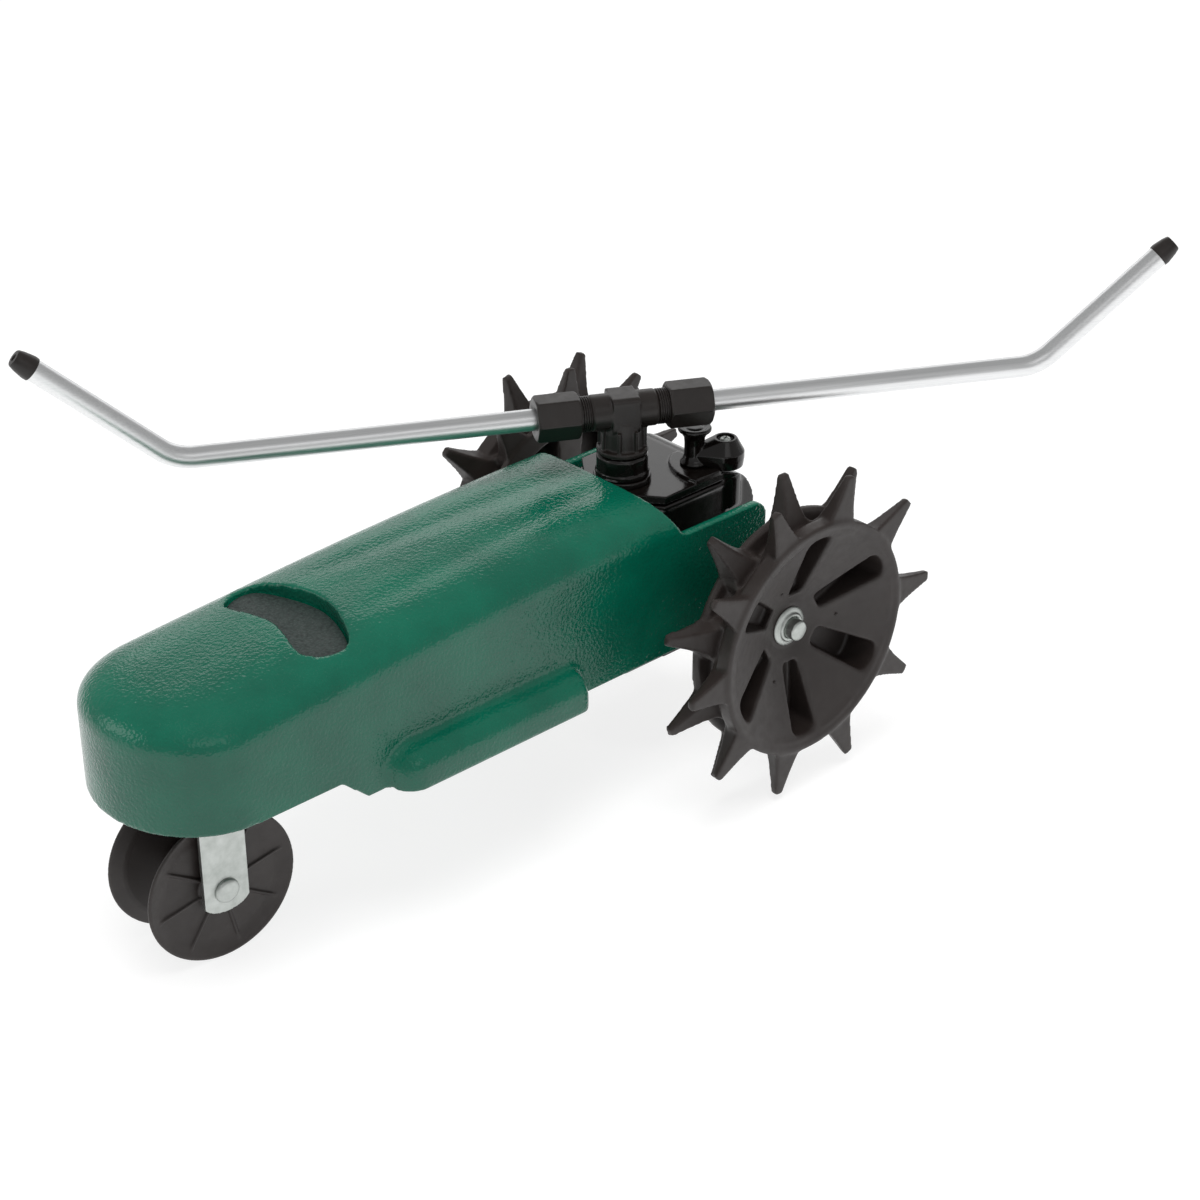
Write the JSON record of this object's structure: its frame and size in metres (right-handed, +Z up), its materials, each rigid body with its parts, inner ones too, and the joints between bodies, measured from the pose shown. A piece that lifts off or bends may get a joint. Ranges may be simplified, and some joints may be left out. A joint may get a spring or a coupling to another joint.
{
  "type": "travelling lawn sprinkler",
  "caption": "Self-propelled lawn sprinkler: water-spun bent arms drive a worm and spur gears to spiked rear wheels, while a grooved front wheel follows the garden hose.",
  "frame": {"origin": "centre of the overall bounding box in plan, on the ground under the wheel spikes", "axes": "+X forward towards the guide wheel, +Y to the machine's left, +Z up"},
  "size_m": [0.6645, 0.3294, 0.2918],
  "materials": {
    "body_powder_coat": "gloss green powder coat with a fine orange peel",
    "zinc": "zinc-plated steel, satin",
    "black_gloss": "black moulded plastic, gloss",
    "black_satin": "black moulded plastic, satin",
    "wheel_plastic": "black moulded plastic, fine grain",
    "grip": "charcoal rubber sheet, leather grain",
    "arm_aluminium": "drawn aluminium tube, satin polish",
    "brass": "turned brass",
    "seal_rubber": "black rubber",
    "spring_steel": "bright spring wire",
    "nylon": "natural nylon",
    "screen": "stainless gauze"
  },
  "bodies": {
    "chassis": {"cast_body": "body_powder_coat", "grip_pad": "grip", "gearbox_housing": "black_gloss", "gearbox_cover": "black_gloss", "cover_screws": "zinc", "housing_bolts": "zinc", "neck_ring": "black_gloss", "gland_nut": "black_satin", "spindle_bush": "brass", "neck_seal": "seal_rubber", "axle_bushes": "nylon", "inlet_manifold": "black_satin", "lower_bush": "brass", "manifold_screws": "zinc", "valve_cap": "black_satin", "valve_spring": "spring_steel", "inlet_tailpiece": "brass", "hose_washer": "seal_rubber", "filter_screen": "screen", "kingpin": "zinc", "fork_washer": "zinc"},
    "rotor_head": {"tee": "black_satin", "arm_nuts": "black_satin", "ferrules": "nylon", "spindle_tube": "brass", "worm": "brass"},
    "front_spray_arm": {"front_arm": "arm_aluminium", "front_nozzle": "black_satin"},
    "rear_spray_arm": {"rear_arm": "arm_aluminium", "rear_nozzle": "black_satin"},
    "counter_gears": {"countershaft": "zinc", "worm_wheel": "nylon", "pinion": "brass"},
    "drive_wheels": {"drive_axle": "zinc", "axle_gear": "nylon", "drive_pins": "spring_steel", "wheel_spacers": "zinc", "wheel_caps": "zinc", "left_wheel": "wheel_plastic", "right_wheel": "wheel_plastic"},
    "steering_fork": {"fork": "zinc", "guide_axle": "zinc"},
    "guide_wheel": {"left_guide_disc": "wheel_plastic", "right_guide_disc": "wheel_plastic", "guide_hub": "wheel_plastic"},
    "selector": {"speed_lever": "black_gloss", "lever_screw": "zinc", "shift_finger": "brass"},
    "shutoff_plunger": {"valve_plunger": "brass", "valve_disc": "seal_rubber"},
    "swivel_nut": {"hose_nut": "brass"}
  },
  "joints": [
    {"name": "head_spin", "type": "hinge", "parent": "chassis", "child": "rotor_head", "pos_m": [-0.03135, 0, 0.218], "axis": [0, 0, 1], "continuous": true},
    {"name": "front_arm_twist", "type": "hinge", "parent": "rotor_head", "child": "front_spray_arm", "pos_m": [-0.03135, 0, 0.218], "axis": [0.8805, -0.4741, 0], "range_deg": [-45, 45]},
    {"name": "rear_arm_twist", "type": "hinge", "parent": "rotor_head", "child": "rear_spray_arm", "pos_m": [-0.03135, 0, 0.218], "axis": [-0.8805, 0.4741, 0], "range_deg": [-45, 45]},
    {"name": "counter_spin", "type": "hinge", "parent": "chassis", "child": "counter_gears", "pos_m": [-0.05485, 0, 0.12486], "axis": [0, 1, 0], "continuous": true},
    {"name": "axle_spin", "type": "hinge", "parent": "chassis", "child": "drive_wheels", "pos_m": [-0.07235, 0, 0.1], "axis": [0, 1, 0], "continuous": true},
    {"name": "fork_swivel", "type": "hinge", "parent": "chassis", "child": "steering_fork", "pos_m": [0.27865, 0, 0.098], "axis": [0, 0, 1], "range_deg": [-26, 34]},
    {"name": "guide_roll", "type": "hinge", "parent": "steering_fork", "child": "guide_wheel", "pos_m": [0.27865, 0, 0.0448], "axis": [0.0698, 0.9976, 0], "continuous": true},
    {"name": "lever_swing", "type": "hinge", "parent": "chassis", "child": "selector", "pos_m": [-0.08735, 0.029, 0.18], "axis": [0, 0, 1], "range_deg": [-20, 20]},
    {"name": "plunger_lift", "type": "slide", "parent": "chassis", "child": "shutoff_plunger", "axis": [0, 0, 1], "range_m": [0, 0.005], "stiffness_N_per_m": 400, "springref_m": -0.002, "deforming": ["valve_spring"]},
    {"name": "hose_nut_spin", "type": "hinge", "parent": "chassis", "child": "swivel_nut", "pos_m": [-0.15435, 0, 0.052], "axis": [1, 0, 0], "continuous": true}
  ],
  "couplings": [
    {"joint": "counter_spin", "follows": "head_spin", "ratio": 0.035714},
    {"joint": "axle_spin", "follows": "head_spin", "ratio": -0.0066964}
  ]
}
